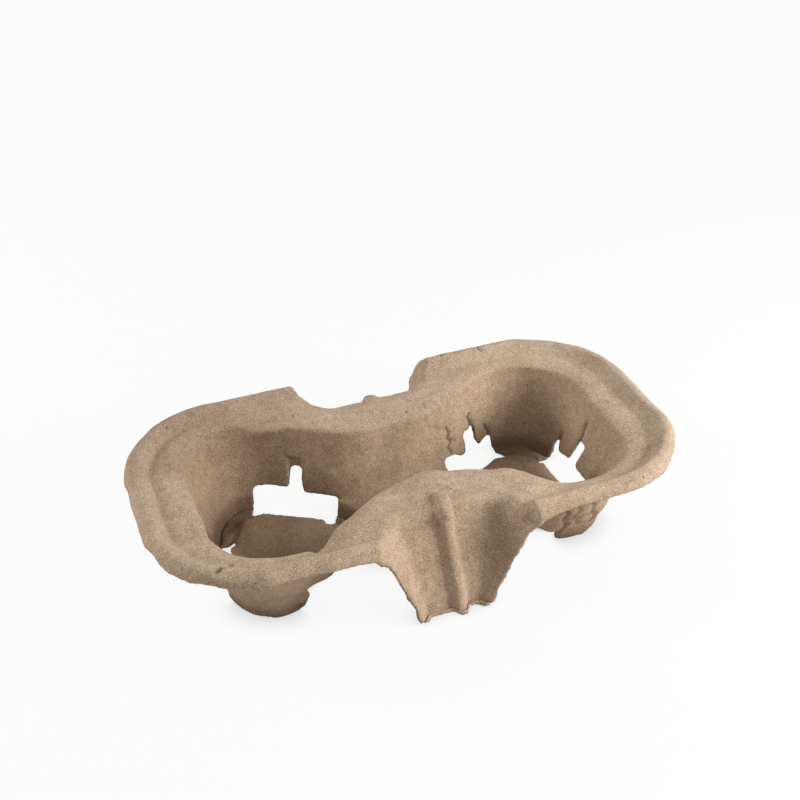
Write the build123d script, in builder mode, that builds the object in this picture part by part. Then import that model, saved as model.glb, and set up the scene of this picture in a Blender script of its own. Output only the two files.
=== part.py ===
"""Two-cup carrier, moulded from paper pulp in one piece.

X runs along the carrier, Y across it and Z up. The origin is the centre of
the floor under it. All sizes are millimetres, all angles degrees.
"""

import os
from math import atan2, cos, degrees, radians, sin, tan

from build123d import *

os.makedirs("parts", exist_ok=True)

# The whole moulding
length = 216.0
width = 112.6
height = 44.0
pulp = 2.0

# Rim: a bead that rolls over all round the edge and is trimmed below
rim_corner = 42.5
bead_round = 4.4
skirt_depth = 5.4
trim_margin = 0.6

# Flange: the flat land inside the bead
bead_width = 9.2
bead_rise = 4.0
bead_slope = 46.0
bead_toe_round = 4.0

# Cup wells: rounded triangles that hold a cup on flat panels, as large as the lands round them allow
panel_count = 3
spacing_share = 17 / 36
end_land = 22.4
side_land = 13.6
side_share = 0.81
mouth_corner_share = 0.68
mouth_round = 6.5
panel_taper = 5.3
grip_height = 11.0
grip_corner_share = 0.75
foot_taper = 5.3
floor_corner_share = 0.6

# Well floor: a raised plate between three feet
plate_rise = 3.0
plate_share = 1.04
plate_slope = 45.0

# Saddle: the channel that joins the two wells
saddle_floor = 7.0
saddle_share = 0.538
saddle_taper = 2.6
saddle_round_share = 0.44
saddle_blend_share = 0.87

# Legs: a tapering channel in the middle of each long side
leg_foot_inset = 2.0
leg_foot_half_width = 11.8
leg_foot_web = 9.6
leg_foot_round = 1.2
leg_top_share = 0.156
leg_top_half_width = 29.5
leg_top_web = 22.0
leg_top_round = 8.0
leg_fold_round = 8.0
fold_turns = (40.0, 60.0, 78.0)

# Rib: a ridge up the middle of each leg
rib_half_width = 3.2
rib_half_crest = 1.4
rib_rise = 1.6

# Windows: a T-shaped opening in the foot of each panel
sill_share = 0.867
bar_share = 0.75
bar_top = 10.4
bar_round = 1.0
stem_half_width = 2.6
stem_top = 19.5
stem_round = 1.6
flap_round = 2.2
notch_width = 3.8
notch_depth = 2.6
window_shift = 2.4

# Levels, reaches and slopes that follow from these sizes
land = height - bead_rise
panel_turn = radians(180 / panel_count)
well_x = spacing_share * length / 2
end_room = length / 2 - end_land - well_x
side_room = (width / 2 - side_land) * side_share
mouth_reach = min(end_room, side_room)
mouth_corner = mouth_corner_share * mouth_reach
grip_reach = mouth_reach - panel_taper
grip_corner = grip_corner_share * grip_reach
floor_reach = grip_reach - foot_taper
floor_corner = floor_corner_share * floor_reach
plate_radius = plate_share * floor_reach
saddle_mouth_half_width = saddle_share * mouth_reach
saddle_half_width = saddle_mouth_half_width - saddle_taper
saddle_round = saddle_round_share * saddle_half_width
saddle_blend = saddle_blend_share * mouth_reach
leg_top_depth = leg_top_share * width
sill_reach = sill_share * floor_reach
bar_half_length = bar_share * floor_reach
panel_draft = atan2(panel_taper, land - grip_height)
leg_lean = atan2(leg_top_depth - leg_foot_inset, land)
overlap = 1.0
hair = 0.01


def well_section(reach, corner, level):
    """One level of the right-hand well, with a flat panel towards the end of the carrier."""
    with BuildSketch(Plane((well_x, 0, level))) as section:
        RegularPolygon(reach, panel_count, major_radius=False, rotation=180)
        fillet(section.vertices(), corner)
    return section.sketch


def well_form(skin):
    """The space of both wells, with its walls moved outwards by skin."""
    wall = skin / cos(panel_draft)
    narrowing = skin * foot_taper / (grip_height - pulp)
    widening = overlap * tan(panel_draft)
    foot_wall = wall - narrowing
    foot = well_section(floor_reach + foot_wall, floor_corner + foot_wall, pulp - skin)
    grip = well_section(grip_reach + wall, grip_corner + wall, grip_height)
    mouth_wall = wall + widening
    mouth = well_section(mouth_reach + mouth_wall, mouth_corner + mouth_wall, land + overlap)
    shrink = skin * tan(radians(plate_slope) / 2)
    plate_edge = plate_radius - shrink
    plate_foot = plate_edge + plate_rise / tan(radians(plate_slope))
    with BuildPart() as form:
        loft(sections=[foot, grip, mouth], ruled=True)
        with Locations((well_x, 0, pulp - skin + plate_rise / 2)):
            Cone(plate_foot, plate_edge, plate_rise, mode=Mode.SUBTRACT)
        mirror(about=Plane.YZ)
    return form.part


def saddle_section(reach, side, level):
    """One level of the saddle: a channel that turns at each corner into the panels of the wells."""
    panel_x = well_x - reach * cos(panel_turn)
    panel_y = reach * sin(panel_turn)
    bend_x = well_x - (reach - side * sin(panel_turn)) / cos(panel_turn)
    with BuildSketch(Plane.XY.offset(level)) as section:
        with BuildLine():
            Polyline((0, side), (bend_x, side), (panel_x, panel_y), (panel_x, 0), (0, 0), close=True)
        make_face()
        fillet(section.vertices().sort_by_distance((bend_x, side))[0], saddle_blend)
        mirror(about=Plane.XZ)
        mirror(about=Plane.YZ)
    return section.sketch


def saddle_form(skin):
    """The space of the channel between the wells, blended into their panels."""
    wall = skin / cos(panel_draft)
    drop = (grip_height - saddle_floor + skin) * tan(panel_draft)
    widening = overlap * tan(panel_draft)
    base = saddle_section(grip_reach + wall - drop, saddle_half_width + skin, saddle_floor - skin)
    mouth = saddle_section(mouth_reach + wall + widening, saddle_mouth_half_width + skin, land + overlap)
    with BuildPart() as form:
        loft(sections=[base, mouth], ruled=True)
        fillet(form.faces().sort_by(Axis.Z)[0].edges().filter_by(Axis.Y, reverse=True), saddle_round + skin)
    return form.part


def leg_section(skin, level, roll):
    """One level of the hollow outside the front leg, its web rolled in from the leaning plane by roll."""
    def between(foot, top):
        return foot + (top - foot) * level / land

    outer_edge = width / 2
    web = outer_edge - between(leg_foot_inset, leg_top_depth) - skin / cos(leg_lean) - roll
    side = between(leg_foot_half_width, leg_top_half_width) + skin
    web_side = between(leg_foot_web, leg_top_web) + skin + roll / 2
    corner = between(leg_foot_round, leg_top_round) + skin + roll
    outside = outer_edge + pulp + overlap
    open_side = side + (side - web_side) * (outside - outer_edge) / (outer_edge - web)
    rib_side = rib_half_width - skin / 2
    rib_crest = rib_half_crest - skin / 4
    with BuildSketch(Plane.XY.offset(level)) as section:
        with BuildLine():
            Polyline(
                (-open_side, -outside),
                (-web_side, -web),
                (-rib_side, -web),
                (-rib_crest, -web - rib_rise),
                (rib_crest, -web - rib_rise),
                (rib_side, -web),
                (web_side, -web),
                (open_side, -outside),
                close=True,
            )
        make_face()
        bends = section.vertices().group_by(Axis.Y)[-1].sort_by(Axis.X)
        fillet([bends[0], bends[-1]], corner)
    return section.sketch


def leg_form(skin):
    """The hollow outside both legs: a leaning web that rolls over into the land at its top."""
    fold = leg_fold_round - skin
    centre_level = land - skin - fold
    sections = [leg_section(skin, 0, 0)]
    for turn in [degrees(leg_lean), *fold_turns]:
        level = centre_level + fold * sin(radians(turn))
        reach = fold * cos(radians(turn))
        straight = fold / cos(leg_lean) - (level - centre_level) * tan(leg_lean)
        roll = straight - reach
        sections.append(leg_section(skin, level, roll))
    sections.append(leg_section(skin, height + overlap, roll))
    with BuildPart() as form:
        loft(sections=sections, ruled=True)
        mirror(about=Plane.XZ)
    return form.part


def moulded_form(skin):
    """All that lies under one face of the pulp: skin is 0 for the top face, pulp for the under face."""
    level = land - skin
    foot = bead_width - skin
    with BuildPart() as form:
        with BuildSketch():
            RectangleRounded(length - 2 * skin, width - 2 * skin, rim_corner - skin)
        extrude(amount=height - skin)
        fillet(form.edges().group_by(Axis.Z)[-1], bead_round - skin)
        with BuildSketch(Plane.XY.offset(level)):
            RectangleRounded(length - 2 * foot, width - 2 * foot, rim_corner - foot)
        extrude(amount=bead_rise + overlap, taper=-bead_slope, mode=Mode.SUBTRACT)
        dish = form.faces().filter_by(Axis.Z).filter_by_position(Axis.Z, level - hair, level + hair)
        fillet(dish[0].edges(), bead_toe_round + skin)
        add(well_form(skin), mode=Mode.SUBTRACT)
        add(saddle_form(skin), mode=Mode.SUBTRACT)
        flats = form.faces().filter_by(Axis.Z).filter_by_position(Axis.Z, level - hair, level + hair)
        mouth = flats.sort_by(SortBy.AREA)[-1].inner_wires()[0]
        fillet(mouth.edges(), mouth_round - skin)
        add(leg_form(skin), mode=Mode.SUBTRACT)
    return form.part


with BuildPart() as skirt_trim:
    inner = pulp + trim_margin
    with BuildSketch():
        RectangleRounded(length + 2 * overlap, width + 2 * overlap, rim_corner + overlap)
        RectangleRounded(length - 2 * inner, width - 2 * inner, rim_corner - inner, mode=Mode.SUBTRACT)
    extrude(amount=height - skirt_depth)
    add(leg_form(pulp), mode=Mode.SUBTRACT)

with BuildPart() as windows:
    bar_foot = -overlap
    for turn, shift in ((0, 0), (120, -window_shift), (240, window_shift)):
        panel = Plane((well_x, 0, 0)).rotated((0, 0, turn))
        sill = panel.from_local_coords((sill_reach, 0, 0))
        with BuildSketch(Plane(sill, x_dir=panel.y_dir, z_dir=panel.x_dir)) as slot:
            with Locations((shift, (bar_foot + bar_top) / 2)):
                RectangleRounded(2 * bar_half_length, bar_top - bar_foot, bar_round)
            with Locations((shift, (bar_foot + stem_top) / 2)):
                RectangleRounded(2 * stem_half_width, stem_top - bar_foot, stem_round)
            fillet(slot.vertices().sort_by_distance((shift, bar_top))[:2], flap_round)
        extrude(amount=mouth_reach + pulp + overlap - sill_reach)
        with BuildSketch(panel.offset(bar_foot)):
            with Locations((sill_reach, shift)):
                with GridLocations(0, 2 * bar_half_length - notch_width, 1, 2):
                    Rectangle(2 * notch_depth, notch_width)
        extrude(amount=bar_top - bar_foot)
    mirror(about=Plane.YZ)

with BuildPart() as cup_carrier:
    add(moulded_form(0))
    add(moulded_form(pulp), mode=Mode.SUBTRACT)
    add(skirt_trim.part, mode=Mode.SUBTRACT)
    add(windows.part, mode=Mode.SUBTRACT)

cup_carrier.part.label = "cup_carrier"
export_step(cup_carrier.part, "parts/cup_carrier.step")
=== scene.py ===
"""Two-cup carrier moulded from paper pulp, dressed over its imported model.

X runs along the carrier, Y away from the viewer and Z up. Places and marks on the pulp
are given in millimetres, and what goes to Blender in metres.
"""

import math

import bmesh
import bpy
import numpy as np
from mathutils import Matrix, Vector
from mathutils.bvhtree import BVHTree
from mathutils.kdtree import KDTree


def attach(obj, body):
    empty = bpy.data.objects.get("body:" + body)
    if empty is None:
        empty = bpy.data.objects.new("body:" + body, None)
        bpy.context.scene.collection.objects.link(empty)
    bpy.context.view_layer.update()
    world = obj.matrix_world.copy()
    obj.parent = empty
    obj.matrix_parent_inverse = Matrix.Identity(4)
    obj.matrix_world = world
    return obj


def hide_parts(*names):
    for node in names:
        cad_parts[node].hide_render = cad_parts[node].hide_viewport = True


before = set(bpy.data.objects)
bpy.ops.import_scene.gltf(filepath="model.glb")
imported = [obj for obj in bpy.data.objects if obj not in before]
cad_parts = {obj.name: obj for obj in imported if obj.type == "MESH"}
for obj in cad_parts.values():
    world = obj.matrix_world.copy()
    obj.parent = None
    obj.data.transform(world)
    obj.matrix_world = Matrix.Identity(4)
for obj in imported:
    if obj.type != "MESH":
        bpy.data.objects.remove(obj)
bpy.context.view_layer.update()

MM = 0.001

# The skin's even grid, and how the trimmed edges of the solid are found
GRID = 1.01 * MM
MERGE_REACH = 0.002 * MM
TRIM_STEP = 0.5 * MM
SHARP_TURN = math.radians(68)

# The rim's outline and levels: half length, half width, corner, height, skirt and land
HALF_LENGTH = 108.0
HALF_WIDTH = 56.3
RIM_CORNER = 42.5
RIM_TOP = 44.0
SKIRT_FOOT = 38.6
LAND = 40.0

# The wells, and the foot in plan of the right well's panel beside the saddle
WELL_X = 51.0
PANELS = 3
PANEL_REACH = 29.3
TURN = math.radians(60)
PANEL_RUN = np.array([math.sin(TURN), math.cos(TURN)])
PANEL_OUT = np.array([-math.cos(TURN), math.sin(TURN)])
PANEL_FOOT = np.array([WELL_X, 0.0]) + PANEL_REACH * PANEL_OUT
OTHER_WELL = np.array([-1, 1])

# The slots: levels where their flaps begin and fade, reach round the panel, and the stem's place
FLAP_FOOT = (8.6, 9.6)
FLAP_TOP = (10, 20)
PANEL_NEAR = (7, 12)
STEM_PLACE = 2.4

# The right well's slot beside the saddle moved along its panel, and its flaps hang loose
SLOT_SHIFT = 4.6
FLAP_LIFT = 2.0
FLAP_SAG = 3.4
FAR_FLAP_SHARE = 1.25
STEM_WIDEN = 2.4
STEM_SINK = 2.4

# The left well's slot beside the saddle has a recess over its stem and one low flap
TAB_DEPTH = 1.7
LEFT_SAG = 2.3

# The right end slot's tongue is bent in, low and to one side, and the left end slot moved
FLAP_BEND = 3.4
FLAP_DROOP = 1.6
FLAP_TUCK = 2.4
END_SLOT_SHIFT = 5.5

# The raised plates slope down to the sills: how far, from where and over what run
SILL_DROP = 2.2
SILL_START = 11.4
SILL_RUN = 9.4

# The legs: how their web leans back, and how their ribs stand proud, aside and askew
LEG_LEAN = 0.39
RIB_SWELL = 1.3
RIB_SHIFT = 2.6
RIB_LEAN = 0.08

# Softening: passes over all the creases, in the pockets of the feet and along trimmed edges
CREASE_PASSES = 5
POCKET_PASSES = 13
EDGE_PASSES = 2
CREASE_PULL = 0.5
EDGE_PULL = 0.3
RIM_GIVE = 0.3
LEG_HOLD = 0.85

# The skirt's wandering foot, as share, waves round the rim and start, and its slack,
# all round and in addition at the left end
SKIRT_WAVES = ((1.0, 11, 0.7), (0.8, 19, 2.1), (0.5, 31, 4.0))
SKIRT_SLACK = 0.3
LEFT_SLACK = 0.55

# The groove at the toe of the bead, and the firm lip of the wells' mouth where it looks half up
TOE_PLACE = 9.8
TOE_REACH = 1.5
TOE_DEPTH = 0.42
LIP_RISE = 0.9
LIP_UPWARD = 0.66
LIP_REACH = 0.2
LIP_PASSES = 4

# How furry the trimmed edges are at the windows, the rim and, in addition, the legs
WINDOW_INSET = 16
WINDOW_FRAY = 0.3
RIM_FRAY = 0.45
LEG_FRAY = 0.55

# Painted light and shade: passes that even out the lit crowns, and shares of the two darker places
CROWN_LIGHT_PASSES = 10
FAR_LEFT_SHADE = 0.66
CHEEK_SHADE = 0.4

# Places where the pulp gave before it dried: the place, how far round it, and the move
PRESSES = (
    # the crest over the near leg leans into the right well and domes up at its left
    ((33.0, -31.0, 40.0), (8.0, 6.0, 9.0), (0.0, 3.0, 1.2)),
    ((22.0, -26.0, 38.0), (7.0, 6.0, 9.0), (0.0, 1.0, 0.2)),
    ((1.0, -25.0, 39.0), (9.0, 6.5, 9.0), (0.0, 2.8, 2.7)),
    # the land sinks on both sides of the crest
    ((27.0, -38.5, 40.0), (6.5, 2.6, 4.0), (0.0, 0.0, -1.2)),
    ((45.5, -42.5, 40.0), (8.0, 4.5, 5.0), (0.0, -2.5, -2.0)),
    ((-46.0, -39.5, 40.0), (6.5, 6.0, 6.0), (-0.5, -4.6, -2.8)),
    # the flange dips into the back corner of the left well, over a firm lip
    ((-47.5, 39.4, 38.8), (9.0, 3.6, 3.6), (0.8, 1.4, -2.0)),
    ((-46.0, 36.2, 35.4), (10.0, 2.6, 2.4), (-0.7, -1.3, 0.5)),
    # the skirt runs into the edges of the near and far legs in a sweep
    ((30.0, -56.0, 38.0), (7.0, 5.0, 3.6), (2.6, 0.0, -2.6)),
    ((-30.0, -56.0, 38.0), (6.0, 5.0, 3.2), (-1.8, 0.0, -1.6)),
    ((30.0, 56.0, 38.0), (7.0, 5.0, 3.6), (2.0, 0.0, -2.4)),
    ((-30.0, 56.0, 38.0), (7.0, 5.0, 3.6), (-2.4, 0.0, -2.4)),
    # the rim's right end over the far leg was drawn out
    ((30.0, 54.5, 37.8), (6.0, 6.0, 3.4), (-3.6, 0.0, 0.0)),
    ((26.5, 54.5, 33.6), (5.0, 6.0, 4.5), (-2.6, 0.0, 0.0)),
    # the near leg's right cheek is shallow at its top
    ((26.5, -48.0, 37.0), (5.0, 5.0, 5.0), (0.0, -2.4, 0.4)),
    # the near foot of the left well was squeezed in
    ((-49.5, -36.0, 12.0), (5.0, 5.0, 5.0), (0.0, 0.0, 2.0)),
    ((-55.0, -33.0, 5.0), (5.0, 5.0, 7.0), (3.2, 1.0, 0.0)),
    ((-54.5, -35.0, 10.0), (4.0, 4.0, 3.5), (2.2, 0.0, 0.0)),
    # the near foot of the right well was drawn out, and the flap beside it hangs low
    ((57.0, -30.0, 4.0), (5.0, 5.0, 7.0), (-3.0, 1.7, 0.0)),
    ((49.5, -34.6, 10.4), (5.0, 5.0, 4.0), (0.0, 0.0, -2.8)),
    ((71.0, -35.0, 16.0), (8.0, 8.0, 12.0), (2.8, 0.4, 0.0)),
    # the left jamb of the slot at the back of the left well stands upright
    ((-58.0, 27.0, 4.0), (4.0, 4.0, 4.0), (1.9, 0.0, 0.0)),
    # the skirt hangs lower at the near left corner
    ((-86.0, -51.0, 38.6), (6.0, 5.0, 3.0), (0.0, 0.0, -1.8)),
    # the bead has a flat near the left end and a fuller roll at the right end
    ((-78.0, -48.0, 43.0), (10.0, 6.0, 4.0), (0.3, 0.8, -0.9)),
    ((104.0, -24.0, 42.0), (7.0, 12.0, 5.0), (0.7, -0.4, -0.5)),
)

# Cracks and wrinkles in the top skin: the line, its width and its depth, also its painted shade
CRACKS = (
    # over the slots of the right well
    (((42.6, 31.9, 25.0), (43.6, 31.6, 21.0), (44.9, 31.6, 16.4)), 0.75, 1.1),
    (((52.6, 33.6, 15.0), (53.8, 33.7, 12.4), (54.8, 33.9, 10.0)), 0.65, 0.9),
    (((80.9, 15.8, 15.5), (80.3, 15.6, 11.0)), 0.65, 0.9),
    (((84.2, 2.2, 29.0), (83.2, 2.7, 25.6), (81.9, 2.9, 19.4)), 0.75, 1.1),
    # from the land down beside the right well's slot
    (((19.4, 26.9, 39.9), (17.2, 20.6, 36.2), (18.2, 19.8, 32.4), (23.4, 21.6, 28.8),
      (29.4, 24.2, 24.6)), 0.55, 0.35),
    (((29.0, 24.3, 25.4), (30.8, 24.2, 23.0), (29.4, 23.4, 21.0), (31.4, 24.0, 18.6),
      (29.4, 22.6, 16.4), (31.2, 22.9, 13.0)), 0.7, 0.9),
    (((28.6, 23.4, 21.6), (31.4, 24.3, 19.4), (33.4, 25.2, 17.8)), 0.6, 0.55),
    # in the bead, at its near left and its far right
    (((-87.0, -46.6, 43.9), (-84.2, -44.2, 42.6), (-81.2, -41.9, 40.2)), 0.8, 0.8),
    (((56.9, 50.3, 43.2), (55.8, 52.6, 44.0)), 0.55, 0.7),
    (((37.6, 51.6, 44.0), (38.2, 53.8, 43.9)), 0.5, 0.5),
    # on the near foot of the right well
    (((52.6, -39.2, 22.0), (54.4, -38.0, 18.4), (52.8, -37.4, 15.0), (55.0, -36.8, 11.0),
      (53.6, -36.0, 8.0)), 1.0, 0.7),
    (((57.4, -39.8, 23.0), (59.4, -38.8, 19.4), (57.2, -38.0, 16.6),
      (59.6, -37.0, 12.0)), 1.0, 0.55),
    (((62.4, -39.4, 24.0), (66.2, -37.8, 20.4), (64.6, -37.0, 17.4), (68.8, -35.6, 13.0),
      (68.0, -34.4, 8.0)), 0.9, 0.85),
    (((54.6, -38.0, 15.0), (58.4, -37.8, 14.0), (61.6, -37.2, 16.4),
      (65.0, -36.4, 15.0)), 0.9, 0.5),
    (((59.6, -36.8, 11.0), (62.6, -36.0, 9.0), (66.0, -34.4, 9.4)), 0.9, 0.5),
    # fine ones on the left flange and over the left well's slot
    (((-90.6, 24.0, 40.1), (-89.2, 22.0, 39.8), (-90.0, 19.6, 40.0)), 0.5, 0.25),
    (((-35.0, 30.4, 26.4), (-32.0, 28.6, 25.8), (-29.2, 27.4, 26.6)), 0.5, 0.3),
    (((-40.6, 31.8, 25.2), (-39.0, 30.6, 24.4)), 0.5, 0.35),
)
LAID_STEP = 0.7

# Ridges that run from the legs' ribs over the fold: the line, its half width and its height
RIDGES = (
    (((1.0, -35.0, 40.0), (0.6, -40.0, 39.6), (0.2, -44.0, 38.0), (-0.1, -46.4, 35.0)), 3.0, 2.0),
    (((0.6, 37.0, 40.0), (0.4, 40.0, 39.6), (0.2, 44.0, 38.0), (-0.1, 46.4, 35.0)), 3.0, 0.4),
)
RIDGE_CREST = 0.55

# Dark grains pressed into the top skin and their radius, and the shares of it where they fade
GRAINS = (
    ((-85.6, 43.9, 42.8), 0.55),
    ((91.3, -0.2, 40.0), 0.5),
    ((-34.6, 37.4, 40.0), 0.6),
    ((4.4, -44.4, 33.0), 0.6),
    ((-16.0, -24.0, 33.0), 0.5),
)
GRAIN_CORE, GRAIN_EDGE = 0.6, 1.6

# What the pulp's relief and its loose fibres measure
RELIEF = {
    "Warp Depth": 2.2 * MM, "Warp Scale": 26.0,
    "Lump Depth": 1.0 * MM, "Lump Scale": 120.0,
    "Fibre Depth": 0.28 * MM, "Fibre Scale": 620.0,
    "Rag Depth": 1.8 * MM, "Rag Scale": 620.0,
}
LOOSE_FIBRES = {
    "Density": 300000.0, "Length": 1.7 * MM, "Thickness": 0.07 * MM,
    "Bend": 260.0, "Spread": 1.1, "Seed": 4,
}
FIBRE_TIP = 0.2
FIBRE_SIZES = (0.35, 1.0)
STRAY_SEED, SIZE_SEED = 5, 9

# The pulp's tones from dark to light, their places on the ramp, and the fuzz of the surface
BODY_TONES = ((0.25, 0.168, 0.105), (0.43, 0.31, 0.21), (0.6, 0.462, 0.335))
FIBRE_TONES = ((0.3, 0.21, 0.135), (0.46, 0.335, 0.23), (0.62, 0.48, 0.35))
TONE_PLACES = (0.12, 0.5, 0.88)
BODY_FUZZ = 0.25 * MM
FIBRE_FUZZ = 0.05 * MM
FUZZ_STRENGTH = 0.6
SHINE = 0.18
ROUGH_LEAST, ROUGH_SWING = 0.86, 0.12

# The grain: how fine each pattern is, and how far it swings the tone and the height
GRAIN_SCALES = {
    "Fibre Scale": 2300.0, "Mottle Scale": 330.0,
    "Cloud Scale": 62.0, "Speck Scale": 300.0,
}
FIBRE_SWING, MOTTLE_SWING, CLOUD_SWING = 2.0, 0.5, 0.42
FIBRE_HEIGHT, MOTTLE_HEIGHT = 0.7, 0.6

# Dots in the grain: how they are stretched, how many cells hold one, and the largest radius
SPECKS = ((1.0, 1.0, 1.0), 0.16, 0.2)
FLECKS = ((1.3, 0.8, 1.1), 0.24, 0.17)
DOT_EDGE = 0.06

# Tints of the pulp: the mask or dot, how strongly it takes, and the colour
PAINTED_LIGHT_AND_SHADE_TINTS = (
    # painted light: paler, greyer upward tops, partly the tops' own greyer tone
    ("crown_grey_and_light", 0.8, (1.09, 1.13, 1.18)),
    # painted shade: darker low in the wells, at the far left and on the near leg's right cheek
    ("deep_shade", 0.74, (0.67, 0.63, 0.6)),
    # painted shade in the pockets of the feet
    ("pocket", 0.9, (0.56, 0.53, 0.5)),
)
DOT_TINTS = (
    ("Fleck", 0.5, (0.66, 0.53, 0.4)),
    ("Speck", 0.75, (0.13, 0.085, 0.055)),
)
FRAY_AND_CRACK_SHADE_TINTS = (
    # darker trimmed edges: partly their own browner tone, partly painted shade in their thickness
    ("fray", 0.34, (0.23, 0.15, 0.09)),
    # painted shade in the cracks and wrinkles, with the dark grains' own colour
    ("crack_shade_and_grains", 0.85, (0.085, 0.052, 0.03)),
)

# The stage in metres: the floor, its painted shadow under the carrier, the light and the camera
FLOOR_REACH = 3.0
FLOOR_TONE = (0.8, 0.8, 0.8, 1)
FLOOR_WHITE = 0.92
CONTACT_REACH = 0.014
CONTACT_SAMPLES = 8
CONTACT_OPEN = (0.3, 0.8)
CONTACT_SHADOW_TONE = (0.72, 1.0)
WHITE = (1, 1, 1, 1)
WORLD_LIGHT = 0.44
LAMP_AIM = Vector((0, 0, 0.02))
LAMPS = (
    ("key_lamp", (0.44, -0.26, 0.27), 0.28, 3.2),
    ("back_lamp", (-0.63, 0.36, 0.36), 0.35, 3.0),
)
CAMERA_PLACE = (-0.13539, -0.34263, 0.31508)
CAMERA_FACING = Vector((0.29957, 0.76899, -0.56472))
CAMERA_LENS = 52.14
CAMERA_SENSOR = 36.0
CAMERA_NEAR = 0.01


# Mesh tools

def neighbour_pairs(mesh):
    pairs = np.empty(len(mesh.edges) * 2, np.int32)
    mesh.edges.foreach_get("vertices", pairs)
    return pairs.reshape(-1, 2)


def read_vectors(mesh, name):
    vectors = np.empty(len(mesh.vertices) * 3, np.float32)
    mesh.vertices.foreach_get(name, vectors)
    return vectors.reshape(-1, 3).astype(float)


def points_of(mesh):
    return read_vectors(mesh, "co")


def normals_of(mesh):
    return read_vectors(mesh, "normal")


def put_points(mesh, points):
    mesh.vertices.foreach_set("co", points.astype(np.float32).ravel())
    mesh.update()


def keep_values(mesh, name, values):
    mesh.attributes.new(name, "FLOAT", "POINT").data.foreach_set("value", values.astype(np.float32))


def above_floor(mesh):
    points = points_of(mesh)
    points[:, 2] = np.maximum(points[:, 2], 0)
    put_points(mesh, points)


def add_piece(name, mesh):
    piece = bpy.data.objects.new(name, mesh)
    bpy.context.scene.collection.objects.link(piece)
    return piece


def neighbour_mean(values, pairs, count):
    """The mean of each point's neighbours, for one value or a vector a point."""
    if values.ndim == 2:
        means = [neighbour_mean(values[:, k], pairs, count) for k in range(values.shape[1])]
        return np.stack(means, 1)
    a, b = pairs[:, 0], pairs[:, 1]
    size = len(values)
    return (np.bincount(a, values[b], size) + np.bincount(b, values[a], size)) / count


def relax(points, pull, passes, pairs, count):
    """Draw each point towards the mean of its neighbours, by its own share in each pass."""
    for _ in range(passes):
        points = points + pull[:, None] * (neighbour_mean(points, pairs, count) - points)
    return points


def upward_share(mesh, passes, pairs, count):
    """How far the skin looks up at each point, evened out over its neighbours."""
    upward = normals_of(mesh)[:, 2]
    for _ in range(passes):
        upward = neighbour_mean(upward, pairs, count)
    return upward


def smooth_step(values, low, high):
    t = np.clip((values - low) / (high - low), 0, 1)
    return t * t * (3 - 2 * t)


def fade(values, low, high):
    return 1 - smooth_step(values, low, high)


def band(values, rise, fall):
    """A mask that rises over one span and falls over the next."""
    return smooth_step(values, *rise) * fade(values, *fall)


def hill(values, middle, reach):
    return np.exp(-((values - middle) / reach) ** 2)


def soft_spot(points, place, reach):
    """The share of a move that each point takes: 1 at the place, almost none two reaches away."""
    return np.exp(-(((points - np.array(place)) / np.array(reach)) ** 2).sum(1))


def laid_line(line, finder):
    """A line cut into short steps, each laid on the nearest point of the skin."""
    laid = []
    for start, end in zip(line[:-1], line[1:]):
        start, end = Vector(start), Vector(end)
        parts = max(1, math.ceil((end - start).length / LAID_STEP))
        laid += [finder.find(start.lerp(end, k / parts))[0] for k in range(parts)]
    return laid + [finder.find(Vector(line[-1]))[0]]


def line_distance(points, line):
    best = np.full(len(points), np.inf)
    for start, end in zip(line[:-1], line[1:]):
        start = np.array(start)
        run = np.array(end) - start
        along = np.clip((points - start) @ run / max(run @ run, 1e-9), 0, 1)
        best = np.minimum(best, np.linalg.norm(points - start - along[:, None] * run, axis=1))
    return best


def rim_distance(points):
    """How far inside the rim's outline each point lies, seen from above."""
    away = np.abs(points[:, :2]) - np.array([HALF_LENGTH - RIM_CORNER, HALF_WIDTH - RIM_CORNER])
    return RIM_CORNER - np.linalg.norm(np.maximum(away, 0), axis=1) - np.minimum(away.max(1), 0)


def panel_places(plan):
    """How far along the panel beside the saddle each point lies, and how far out of it."""
    from_foot = plan - PANEL_FOOT
    return from_foot @ PANEL_RUN, from_foot @ PANEL_OUT


# Node tools

def add_node(tree, kind, values=None, **settings):
    """A node with its settings, and its inputs linked to sockets or set to plain values."""
    node = tree.nodes.new(kind)
    for name, value in settings.items():
        setattr(node, name, value)
    for name, value in (values or {}).items():
        if isinstance(value, bpy.types.NodeSocket):
            tree.links.new(value, node.inputs[name])
        else:
            node.inputs[name].default_value = value
    return node


def maths(tree, operation, first, second):
    values = {0: first, 1: second}
    return add_node(tree, "ShaderNodeMath", values, operation=operation).outputs[0]


def vector_maths(tree, operation, first, second):
    values = {0: first, 1: second}
    return add_node(tree, "ShaderNodeVectorMath", values, operation=operation).outputs[0]


def scaled(tree, vector, factor):
    values = {0: vector, "Scale": factor}
    return add_node(tree, "ShaderNodeVectorMath", values, operation="SCALE").outputs[0]


def mapped(tree, value, taken, given):
    """A value mapped from one range to another, and kept inside it."""
    values = {0: value, 1: taken[0], 2: taken[1], 3: given[0], 4: given[1]}
    return add_node(tree, "ShaderNodeMapRange", values).outputs[0]


def add_sockets(tree, names, in_out, kind):
    for name in names:
        tree.interface.new_socket(name, in_out=in_out, socket_type=kind)


def shape_tree(name, sizes, whole=()):
    """An empty geometry tree with named inputs for its sizes, and for its whole numbers."""
    tree = bpy.data.node_groups.new(name, "GeometryNodeTree")
    add_sockets(tree, ("Geometry",), "INPUT", "NodeSocketGeometry")
    add_sockets(tree, sizes, "INPUT", "NodeSocketFloat")
    add_sockets(tree, whole, "INPUT", "NodeSocketInt")
    add_sockets(tree, ("Geometry",), "OUTPUT", "NodeSocketGeometry")
    return tree, tree.nodes.new("NodeGroupInput").outputs, tree.nodes.new("NodeGroupOutput").inputs


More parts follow.
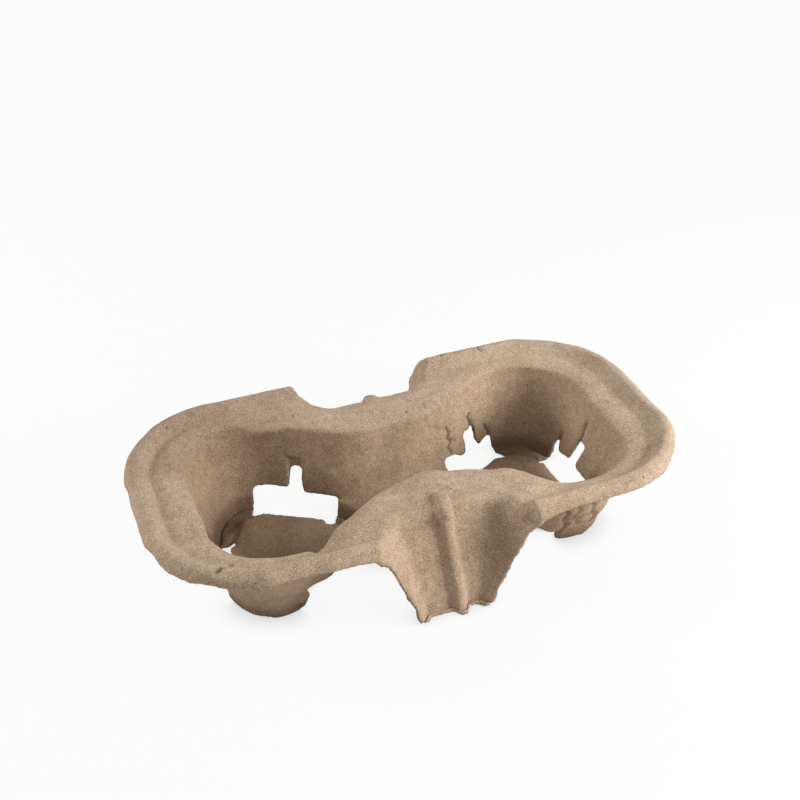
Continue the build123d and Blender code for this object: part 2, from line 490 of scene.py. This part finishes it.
def end_tree(tree, made, shape, finish):
    """End a geometry tree in one plain mesh with its material."""
    plain = add_node(tree, "GeometryNodeRealizeInstances", {"Geometry": shape})
    values = {"Geometry": plain.outputs[0], "Material": finish}
    dressed = add_node(tree, "GeometryNodeSetMaterial", values)
    tree.links.new(dressed.outputs[0], made["Geometry"])


def fray_mask(tree):
    values = {"Name": "fray"}
    return add_node(tree, "GeometryNodeInputNamedAttribute", values, data_type="FLOAT").outputs[0]


def shaped_mesh(source, tree, values):
    """The plain mesh that a geometry tree makes of an object, with the modifier gone again."""
    modifier = source.modifiers.new(tree.name, "NODES")
    modifier.node_group = tree
    for socket in tree.interface.items_tree:
        if socket.in_out == "INPUT" and socket.name in values:
            modifier[socket.identifier] = values[socket.name]
    depsgraph = bpy.context.evaluated_depsgraph_get()
    mesh = bpy.data.meshes.new_from_object(source.evaluated_get(depsgraph))
    source.modifiers.remove(modifier)
    return mesh


# Finishes

def grain_group():
    """Recycled fibre: fine grain, cloudy mottling, sparse dark specks and pale flecks."""
    tree = bpy.data.node_groups.new("pulp_grain", "ShaderNodeTree")
    add_sockets(tree, ("Place",), "INPUT", "NodeSocketVector")
    add_sockets(tree, GRAIN_SCALES, "INPUT", "NodeSocketFloat")
    add_sockets(tree, ("Tone", "Speck", "Fleck", "Height"), "OUTPUT", "NodeSocketFloat")
    given = tree.nodes.new("NodeGroupInput").outputs
    made = tree.nodes.new("NodeGroupOutput").inputs

    def noise(scale, detail, rough):
        values = {"Vector": given["Place"], "Scale": given[scale]}
        values.update({"Detail": detail, "Roughness": rough})
        return add_node(tree, "ShaderNodeTexNoise", values).outputs["Fac"]

    def swing(pattern, amount):
        return maths(tree, "MULTIPLY", maths(tree, "SUBTRACT", pattern, 0.5), amount)

    def dots(stretch, share, size):
        place = vector_maths(tree, "MULTIPLY", given["Place"], stretch)
        values = {"Vector": place, "Scale": given["Speck Scale"]}
        cells = add_node(tree, "ShaderNodeTexVoronoi", values)
        parts = add_node(tree, "ShaderNodeSeparateColor", {0: cells.outputs["Color"]}).outputs
        chosen = maths(tree, "GREATER_THAN", parts["Red"], 1 - share)
        radius = maths(tree, "MULTIPLY", parts["Green"], size)
        near = maths(tree, "SUBTRACT", radius, cells.outputs["Distance"])
        return maths(tree, "MULTIPLY", chosen, mapped(tree, near, (0.0, DOT_EDGE), (0.0, 1.0)))

    fibre = noise("Fibre Scale", 2.0, 0.6)
    mottle = noise("Mottle Scale", 3.0, 0.6)
    cloud = noise("Cloud Scale", 2.0, 0.5)
    tone = maths(tree, "ADD", swing(fibre, FIBRE_SWING), swing(mottle, MOTTLE_SWING))
    tone = maths(tree, "ADD", tone, swing(cloud, CLOUD_SWING))
    tree.links.new(maths(tree, "ADD", tone, 0.5), made["Tone"])
    tree.links.new(dots(*SPECKS), made["Speck"])
    tree.links.new(dots(*FLECKS), made["Fleck"])
    fibre_height = maths(tree, "MULTIPLY", fibre, FIBRE_HEIGHT)
    mottle_height = maths(tree, "MULTIPLY", mottle, MOTTLE_HEIGHT)
    tree.links.new(maths(tree, "ADD", fibre_height, mottle_height), made["Height"])
    return tree


def pulp_finish(name, grain, tones, fuzz):
    """Pulp material from the shared grain, with painted light and shade and darker edges and
    cracks.
    """
    finish = bpy.data.materials.new(name)
    finish.use_nodes = True
    tree = finish.node_tree
    shader = tree.nodes["Principled BSDF"]
    shader.inputs["Specular IOR Level"].default_value = SHINE
    place = add_node(tree, "ShaderNodeTexCoord").outputs["Object"]
    values = {"Place": place, **GRAIN_SCALES}
    pulp = add_node(tree, "ShaderNodeGroup", values, node_tree=grain).outputs
    ramp = add_node(tree, "ShaderNodeValToRGB", {0: pulp["Tone"]})
    stops = ramp.color_ramp.elements
    dark, middle, light = ((*tone, 1) for tone in tones)
    stops[0].position, stops[0].color = TONE_PLACES[0], dark
    stops[1].position, stops[1].color = TONE_PLACES[2], light
    stops.new(TONE_PLACES[1]).color = middle

    def tinted(under, mask, strength, tint, blend="MIX"):
        mix = add_node(tree, "ShaderNodeMix", data_type="RGBA", blend_type=blend)
        tree.links.new(maths(tree, "MULTIPLY", mask, strength), mix.inputs["Factor"])
        sockets = [socket for socket in mix.inputs if socket.type == "RGBA"]
        tree.links.new(under, sockets[0])
        sockets[1].default_value = (*tint, 1)
        return [socket for socket in mix.outputs if socket.type == "RGBA"][0]

    def kept(mask):
        return add_node(tree, "ShaderNodeAttribute", attribute_name=mask).outputs["Fac"]

    colour = ramp.outputs["Color"]
    # painted light on the tops and painted shade in the wells and the feet's pockets
    for mask, strength, tint in PAINTED_LIGHT_AND_SHADE_TINTS:
        colour = tinted(colour, kept(mask), strength, tint, "MULTIPLY")
    for dot, strength, tint in DOT_TINTS:
        colour = tinted(colour, pulp[dot], strength, tint)
    # darker trimmed edges, partly painted shade, and painted shade in the cracks
    for mask, strength, tint in FRAY_AND_CRACK_SHADE_TINTS:
        colour = tinted(colour, kept(mask), strength, tint)
    tree.links.new(colour, shader.inputs["Base Color"])
    rough = maths(tree, "ADD", maths(tree, "MULTIPLY", pulp["Tone"], ROUGH_SWING), ROUGH_LEAST)
    tree.links.new(rough, shader.inputs["Roughness"])
    values = {"Strength": FUZZ_STRENGTH, "Distance": fuzz, "Height": pulp["Height"]}
    relief = add_node(tree, "ShaderNodeBump", values)
    tree.links.new(relief.outputs["Normal"], shader.inputs["Normal"])
    return finish


grain = grain_group()
body_finish = pulp_finish("grey_brown_pulp", grain, BODY_TONES, BODY_FUZZ)
fibre_finish = pulp_finish("loose_fibre_pulp", grain, FIBRE_TONES, FIBRE_FUZZ)


# Skin of the moulding

def even_skin():
    """A copy of the solid on one even grid, and each point's distance from a trimmed edge."""
    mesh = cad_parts["cup_carrier"].data.copy()
    mesh.materials.clear()
    work = bmesh.new()
    work.from_mesh(mesh)
    bmesh.ops.remove_doubles(work, verts=work.verts, dist=MERGE_REACH)
    work.to_mesh(mesh)
    surface = BVHTree.FromBMesh(work)
    sharp = [e for e in work.edges if e.is_manifold and e.calc_face_angle() > SHARP_TURN]
    steps = [max(1, math.ceil(e.calc_length() / TRIM_STEP)) for e in sharp]
    trim = KDTree(sum(steps))
    for edge, step in zip(sharp, steps):
        for k in range(step):
            trim.insert(edge.verts[0].co.lerp(edge.verts[1].co, (k + 0.5) / step), 0)
    trim.balance()
    work.free()
    body = add_piece("pulp_body", mesh)
    grid = body.modifiers.new("even_grid", "REMESH")
    grid.mode = "VOXEL"
    grid.voxel_size = GRID
    grid.use_smooth_shade = True
    depsgraph = bpy.context.evaluated_depsgraph_get()
    body.data = bpy.data.meshes.new_from_object(body.evaluated_get(depsgraph))
    body.modifiers.remove(grid)
    bpy.data.meshes.remove(mesh)
    points = np.array([surface.find_nearest(p)[0] for p in points_of(body.data)])
    put_points(body.data, points)
    from_trim = np.array([trim.find(p)[2] for p in points]) / MM
    return body, from_trim


def on_legs(points):
    """A mask of the two legs, outside the wells and under the land."""
    x, y, z = np.abs(points).T
    return fade(x, 26, 34) * smooth_step(y - LEG_LEAN * (LAND - z), 32, 36) * fade(z, 38.0, 39.0)


def beyond_plate(points):
    """A mask of the feet and the foot of the walls, outside the raised plates of the wells."""
    x, y, z = np.abs(points).T
    inside = smooth_step(rim_distance(points), 12, 20)
    return smooth_step(np.hypot(x - WELL_X, y), 23, 27) * fade(z, 3, 10) * inside


def frayed(points, from_trim):
    """A mask of the furry trimmed edges, strongest on the legs and weakest at the windows."""
    outside = RIM_FRAY + LEG_FRAY * on_legs(points)
    strength = np.where(rim_distance(points) > WINDOW_INSET, WINDOW_FRAY, outside)
    return fade(from_trim, 0.7, 1.7) * strength


def soften(points, from_trim, pairs, count):
    """Round the creases, most inside the wells and least along the rim and the trimmed edges."""
    free = smooth_step(from_trim, 1.6, 4.5)
    inside = smooth_step(rim_distance(points / MM), 6, 13)
    give = (RIM_GIVE + (1 - RIM_GIVE) * inside) * free * (1 - LEG_HOLD * on_legs(points / MM))
    points = relax(points, CREASE_PULL * give, CREASE_PASSES, pairs, count)
    pocket = beyond_plate(points / MM) * smooth_step(from_trim, 0.8, 2.4)
    points = relax(points, CREASE_PULL * pocket, POCKET_PASSES, pairs, count)
    return relax(points, EDGE_PULL * (1 - free), EDGE_PASSES, pairs, count)


def slope_floors(points):
    """Let the raised plates of the wells slope down to the sills of the slots."""
    x, y, z = points.T
    plate = band(z, (2.2, 3.0), (6.0, 8.0))
    drop = np.zeros(len(points))
    for turn in range(PANELS):
        angle = 2 * turn * TURN
        outwards = (np.abs(x) - WELL_X) * math.cos(angle) + y * math.sin(angle)
        drop = np.maximum(drop, np.clip((outwards - SILL_START) / SILL_RUN, 0, 1))
    points[:, 2] -= SILL_DROP * plate * drop
    return points


def push_right_slot(points):
    """Move the right well's slot along its panel, lift its end, and let its flaps sag open."""
    along, out = panel_places(points[:, :2])
    z = points[:, 2].copy()
    panel = fade(np.abs(out), *PANEL_NEAR) * fade(z, 20, 33)
    flaps = panel * smooth_step(z, *FLAP_FOOT)
    edge = flaps * fade(z, *FLAP_TOP)
    moved = panel * band(along, (-32, -20), (4, 17))
    lifted = edge * fade(along, -16, -6)
    near_flap = band(along, (-9, -3), (0.6, 2.4))
    far_flap = hill(along, 12.5, 7.0) * smooth_step(along, 2.4, 5.0)
    sagging = edge * (near_flap + FAR_FLAP_SHARE * far_flap)
    beside_stem = flaps * band(along, (2.4, 4.6), (9, 15))
    over_stem = panel * hill(along, STEM_PLACE, 4.0) * band(z, (14, 18), (21, 26))
    points[:, :2] += (SLOT_SHIFT * moved + STEM_WIDEN * beside_stem)[:, None] * PANEL_RUN
    points[:, 2] += FLAP_LIFT * lifted - FLAP_SAG * sagging - STEM_SINK * over_stem
    return points


def push_left_slot(points):
    """Press a recess over the left slot's stem, and let the flap beside the saddle sag."""
    along, out = panel_places(points[:, :2] * OTHER_WELL)
    z = points[:, 2].copy()
    over_stem = fade(np.abs(along - STEM_PLACE), 2.4, 3.2) * band(z, (17, 18), (23.4, 24.4))
    recess = over_stem * fade(np.abs(out), 6, 8)
    edge = fade(np.abs(out), *PANEL_NEAR) * band(z, FLAP_FOOT, FLAP_TOP)
    sagging = edge * band(along, (-26, -18), (-1.4, 0.6))
    points[:, :2] += (TAB_DEPTH * recess)[:, None] * PANEL_OUT * OTHER_WELL
    points[:, 2] -= LEFT_SAG * sagging
    return points


def push_end_slots(points):
    """Bend the right end slot's tongue into the well, and move the left end slot's back jamb."""
    x, y, z = points.T.copy()
    tongue = smooth_step(x, 70, 76) * fade(np.abs(y), 13, 17) * band(z, FLAP_FOOT, (10, 24))
    jamb = smooth_step(-x, 62, 68) * band(y, (3, 18), (20, 38)) * fade(z, 12, 38)
    points[:, 0] -= FLAP_BEND * tongue
    points[:, 1] -= FLAP_TUCK * tongue * smooth_step(y, 2, 12) + END_SLOT_SHIFT * jamb
    points[:, 2] -= FLAP_DROOP * tongue * smooth_step(y, 4, 15)
    return points


def raise_ribs(points):
    """Set the legs' ribs proud of the web, a little off the middle and askew."""
    x, y, z = points.T.copy()
    legs = on_legs(points)
    points[:, 1] += RIB_SWELL * np.sign(y) * legs * fade(np.abs(x), 1.0, 3.2)
    points[:, 0] += (RIB_SHIFT - RIB_LEAN * z) * legs * fade(np.abs(x), 3.4, 9.0)
    return points


def hang_skirt(points):
    """Let the skirt's foot wander as it was trimmed, most at the left end."""
    turn = np.arctan2(points[:, 1] / HALF_WIDTH, points[:, 0] / HALF_LENGTH)
    wander = sum(share * np.sin(waves * turn + start) for share, waves, start in SKIRT_WAVES)
    slack = SKIRT_SLACK + LEFT_SLACK * smooth_step(-points[:, 0], 55, 100)
    on_skirt = fade(rim_distance(points), 2.6, 4.0) * smooth_step(points[:, 2], 30, 34)
    hang = on_skirt * fade(points[:, 2], SKIRT_FOOT + 0.5, RIM_TOP - 1.0)
    points[:, 2] += hang * slack * wander
    return points


def groove_toe(points):
    """Sink a shallow groove at the toe of the bead round both ends."""
    ends = smooth_step(np.abs(points[:, 0]), 36, 46)
    toe = hill(rim_distance(points), TOE_PLACE, TOE_REACH) * ends
    points[:, 2] -= TOE_DEPTH * toe * smooth_step(points[:, 2], 38.4, 39.4)
    return points


def give_way(points):
    """Move the skin where the pulp gave: at the slots, the ribs, the presses and the rim."""
    for change in (slope_floors, push_right_slot, push_left_slot, push_end_slots, raise_ribs):
        points = change(points)
    for place, reach, move in PRESSES:
        points += soft_spot(points, place, reach)[:, None] * np.array(move)
    return groove_toe(hang_skirt(points))


def firm_lip(points, normals, upward):
    """Bring out the rounded mouth of the wells and the saddle as a firmer lip."""
    top = smooth_step(points[:, 2], 33, 37) * smooth_step(rim_distance(points), 11, 15)
    return points + (LIP_RISE * top * hill(upward, LIP_UPWARD, LIP_REACH))[:, None] * normals


def mark(points, normals):
    """Cut the cracks and raise the ridges: the points, and a mask of cracks (painted shade) and
    grains.
    """
    dark = np.zeros(len(points))
    cut = np.zeros(len(points))
    finder = KDTree(len(points))
    for index, point in enumerate(points):
        finder.insert(point, index)
    finder.balance()
    for line, width, depth in CRACKS:
        share = hill(line_distance(points, laid_line(line, finder)), 0, width)
        cut = np.maximum(cut, depth * share)
        # painted shade in the cracks, darker where they are cut further in
        dark = np.maximum(dark, min(1, depth) * share)
    for line, width, height in RIDGES:
        ridge = fade(line_distance(points, line), RIDGE_CREST * width, width)
        cut -= height * ridge * smooth_step(points[:, 2], 34, 39)
    for place, radius in GRAINS:
        away = np.linalg.norm(points - np.array(place), axis=1)
        dark = np.maximum(dark, fade(away, GRAIN_CORE * radius, GRAIN_EDGE * radius))
    return points - cut[:, None] * normals, dark


def painted_light_and_shade_masks(points, upward):
    """Masks of painted light on the upward tops and painted shade in the wells and the feet's
    pockets.
    """
    x, y, z = points.T
    # painted shade: darker low in the wells, at the far left and on the near leg's right cheek
    depth = fade(z, 3, 26) * smooth_step(rim_distance(points), 12, 20)
    far_left = smooth_step(-x, 18, 64) * smooth_step(y, 4, 30)
    cheek = on_legs(points) * smooth_step(x, 10, 18)
    return {
        # painted light on the upward tops high on the carrier, partly their greyer tone
        "crown_grey_and_light": smooth_step(upward, 0.2, 0.85) * smooth_step(z, 30, 42),
        "deep_shade": depth + FAR_LEFT_SHADE * far_left + CHEEK_SHADE * cheek,
        # painted shade in the pockets of the feet
        "pocket": beyond_plate(points),
    }


def relief_tree():
    """Gentle warp and lumps of drying pulp, a fine fibre relief, and ragged trimmed edges."""
    tree, given, made = shape_tree("drying_relief", RELIEF)
    place = add_node(tree, "GeometryNodeInputPosition").outputs[0]
    normal = add_node(tree, "GeometryNodeInputNormal").outputs[0]

    def noise(scale, detail):
        values = {"Vector": place, "Scale": given[scale], "Detail": detail}
        return add_node(tree, "ShaderNodeTexNoise", values).outputs

    def swing(scale, detail, depth):
        pattern = noise(scale, detail)["Color"]
        return scaled(tree, vector_maths(tree, "SUBTRACT", pattern, (0.5, 0.5, 0.5)), depth)

    def swell(scale, detail, depth):
        centred = maths(tree, "SUBTRACT", noise(scale, detail)["Fac"], 0.5)
        return scaled(tree, normal, maths(tree, "MULTIPLY", centred, depth))

    offset = swing("Warp Scale", 1.0, given["Warp Depth"])
    offset = vector_maths(tree, "ADD", offset, swell("Lump Scale", 2.0, given["Lump Depth"]))
    offset = vector_maths(tree, "ADD", offset, swell("Fibre Scale", 2.0, given["Fibre Depth"]))
    rag = maths(tree, "MULTIPLY", fray_mask(tree), given["Rag Depth"])
    offset = vector_maths(tree, "ADD", offset, swing("Rag Scale", 2.0, rag))
    values = {"Geometry": given["Geometry"], "Offset": offset}
    moved = add_node(tree, "GeometryNodeSetPosition", values)
    end_tree(tree, made, moved.outputs[0], body_finish)
    return tree


def fibre_tree():
    """Loose fibres that stand out of the trimmed edges: short bent tapering slivers."""
    sizes = [name for name in LOOSE_FIBRES if name != "Seed"]
    tree, given, made = shape_tree("edge_fibres", sizes, ("Seed",))
    density = maths(tree, "MULTIPLY", fray_mask(tree), given["Density"])
    values = {"Mesh": given["Geometry"], "Density": density, "Seed": given["Seed"]}
    scatter = add_node(tree, "GeometryNodeDistributePointsOnFaces", values)
    sliver = add_node(tree, "GeometryNodeMeshCone", {
        "Vertices": 3, "Side Segments": 3, "Fill Segments": 1,
        "Radius Top": maths(tree, "MULTIPLY", given["Thickness"], FIBRE_TIP),
        "Radius Bottom": given["Thickness"], "Depth": given["Length"],
    })
    place = add_node(tree, "GeometryNodeInputPosition").outputs[0]
    up = add_node(tree, "ShaderNodeSeparateXYZ", {0: place}).outputs["Z"]
    lean = maths(tree, "MULTIPLY", maths(tree, "MULTIPLY", up, up), given["Bend"])
    lean = add_node(tree, "ShaderNodeCombineXYZ", {"X": lean}).outputs[0]
    values = {"Geometry": sliver.outputs["Mesh"], "Offset": lean}
    bent = add_node(tree, "GeometryNodeSetPosition", values)

    def random_vector(low, high, seed):
        values = {"Min": (low, low, low), "Max": (high, high, high), "Seed": seed}
        node = add_node(tree, "FunctionNodeRandomValue", values, data_type="FLOAT_VECTOR")
        return node.outputs[0]

    stray = scaled(tree, random_vector(-1.0, 1.0, STRAY_SEED), given["Spread"])
    towards = vector_maths(tree, "ADD", scatter.outputs["Normal"], stray)
    turn = add_node(tree, "FunctionNodeAlignRotationToVector", {"Vector": towards}, axis="Z")
    grown = add_node(tree, "GeometryNodeInstanceOnPoints", {
        "Points": scatter.outputs["Points"], "Instance": bent.outputs[0],
        "Rotation": turn.outputs[0], "Scale": random_vector(*FIBRE_SIZES, SIZE_SEED),
    })
    end_tree(tree, made, grown.outputs[0], fibre_finish)
    return tree


body, from_trim = even_skin()
skin = body.data
pairs = neighbour_pairs(skin)
count = np.maximum(np.bincount(pairs.ravel(), minlength=len(skin.vertices)), 1)
fray = frayed(points_of(skin) / MM, from_trim)
points = give_way(soften(points_of(skin), from_trim, pairs, count) / MM)
put_points(skin, points * MM)
points = firm_lip(points, normals_of(skin), upward_share(skin, LIP_PASSES, pairs, count))
put_points(skin, points * MM)
points, dark = mark(points, normals_of(skin))
put_points(skin, points * MM)
# the skin keeps the frayed edges, the cracks' painted shade with the grains, and painted light and
# shade
painted_light_and_shade = painted_light_and_shade_masks(points, upward_share(skin, CROWN_LIGHT_PASSES, pairs, count))
for name, values in {"fray": fray, "crack_shade_and_grains": dark, **painted_light_and_shade}.items():
    keep_values(skin, name, values)

body.data = shaped_mesh(body, relief_tree(), RELIEF)
bpy.data.meshes.remove(skin)
above_floor(body.data)
fibres = add_piece("edge_fibres", shaped_mesh(body, fibre_tree(), LOOSE_FIBRES))
above_floor(fibres.data)

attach(body, "root")
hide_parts("cup_carrier")
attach(fibres, "root")


# Stage

def seen_rays(tree):
    """A mask of the rays that show the stage: to the camera, and in anything glossy or clear."""
    rays = add_node(tree, "ShaderNodeLightPath").outputs
    seen = maths(tree, "MAXIMUM", rays["Is Camera Ray"], rays["Is Glossy Ray"])
    return maths(tree, "MAXIMUM", seen, rays["Is Transmission Ray"])


def white_floor():
    """A floor that the camera sees as white, with a light shadow and a painted contact shadow near
    the feet.
    """
    mesh = bpy.data.meshes.new("floor")
    work = bmesh.new()
    bmesh.ops.create_grid(work, x_segments=1, y_segments=1, size=FLOOR_REACH)
    work.to_mesh(mesh)
    work.free()
    floor = add_piece("floor", mesh)
    paint = bpy.data.materials.new("white_floor")
    paint.use_nodes = True
    tree = paint.node_tree
    shader = tree.nodes["Principled BSDF"]
    shader.inputs["Base Color"].default_value = FLOOR_TONE
    shader.inputs["Roughness"].default_value = 1.0
    shader.inputs["Specular IOR Level"].default_value = 0.0
    values = {"Distance": CONTACT_REACH}
    contact = add_node(tree, "ShaderNodeAmbientOcclusion", values, samples=CONTACT_SAMPLES)
    # painted contact shadow: the camera's white darkens where the carrier shuts in the floor
    tone = mapped(tree, contact.outputs["AO"], CONTACT_OPEN, CONTACT_SHADOW_TONE)
    white = add_node(tree, "ShaderNodeEmission", {"Color": tone, "Strength": 1.0})
    share = maths(tree, "MULTIPLY", seen_rays(tree), FLOOR_WHITE)
    values = {0: share, 1: shader.outputs[0], 2: white.outputs[0]}
    mix = add_node(tree, "ShaderNodeMixShader", values)
    tree.links.new(mix.outputs[0], tree.nodes["Material Output"].inputs["Surface"])
    mesh.materials.append(paint)


def white_world():
    """Even light from all round, white where the camera sees it."""
    world = bpy.data.worlds.new("studio")
    bpy.context.scene.world = world
    world.use_nodes = True
    tree = world.node_tree
    sky = tree.nodes["Background"]
    sky.inputs["Color"].default_value = WHITE
    sky.inputs["Strength"].default_value = WORLD_LIGHT
    plain = add_node(tree, "ShaderNodeBackground", {"Color": WHITE, "Strength": 1.0})
    values = {0: seen_rays(tree), 1: sky.outputs[0], 2: plain.outputs[0]}
    mix = add_node(tree, "ShaderNodeMixShader", values)
    tree.links.new(mix.outputs[0], tree.nodes["World Output"].inputs["Surface"])


def soft_lamp(name, place, size, power):
    data = bpy.data.lights.new(name, "AREA")
    data.shape = "DISK"
    data.size = size
    data.energy = power
    lamp = bpy.data.objects.new(name, data)
    lamp.location = place
    lamp.rotation_euler = (LAMP_AIM - Vector(place)).to_track_quat("-Z", "Y").to_euler()
    bpy.context.scene.collection.objects.link(lamp)


def photo_camera():
    data = bpy.data.cameras.new("photo_camera")
    data.sensor_width = CAMERA_SENSOR
    data.lens = CAMERA_LENS
    data.clip_start = CAMERA_NEAR
    camera = bpy.data.objects.new("photo_camera", data)
    camera.location = CAMERA_PLACE
    camera.rotation_euler = CAMERA_FACING.to_track_quat("-Z", "Y").to_euler()
    bpy.context.scene.collection.objects.link(camera)
    bpy.context.scene.camera = camera


white_floor()
white_world()
for lamp in LAMPS:
    soft_lamp(*lamp)
photo_camera()
bpy.context.scene.view_settings.view_transform = "Standard"
